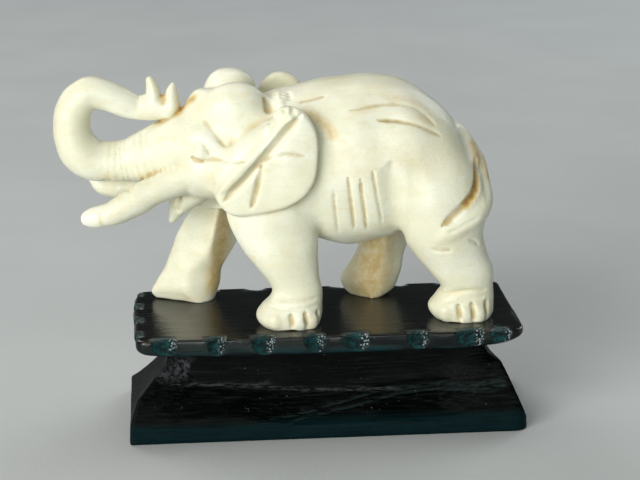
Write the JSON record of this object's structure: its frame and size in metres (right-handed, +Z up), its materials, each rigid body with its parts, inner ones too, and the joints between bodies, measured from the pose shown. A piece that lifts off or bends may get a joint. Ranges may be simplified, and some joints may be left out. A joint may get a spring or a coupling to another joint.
{
  "type": "carved elephant figurine on a stand",
  "caption": "Small carved elephant with raised trunk, tusks and swept tail, on a dark wooden stand with a gouge-nicked edge.",
  "frame": {"origin": "centre of the plinth's flat underside", "axes": "+Z up; +X along the stand from the elephant's head to its tail, so the elephant faces -X; the side its tail swings to faces -Y"},
  "size_m": [0.0966, 0.0334, 0.0736],
  "materials": {
    "carving": "satin",
    "black_board": "satin",
    "black_plinth": "matte",
    "pale_pegs": "matte"
  },
  "bodies": {
    "root": {"stand_plinth": "black_plinth", "stand_board": "black_board", "elephant": "carving", "near_fore_peg": "pale_pegs", "far_fore_peg": "pale_pegs", "near_hind_peg": "pale_pegs", "far_hind_peg": "pale_pegs", "front_dowel": "pale_pegs", "rear_dowel": "pale_pegs"}
  },
  "joints": []
}
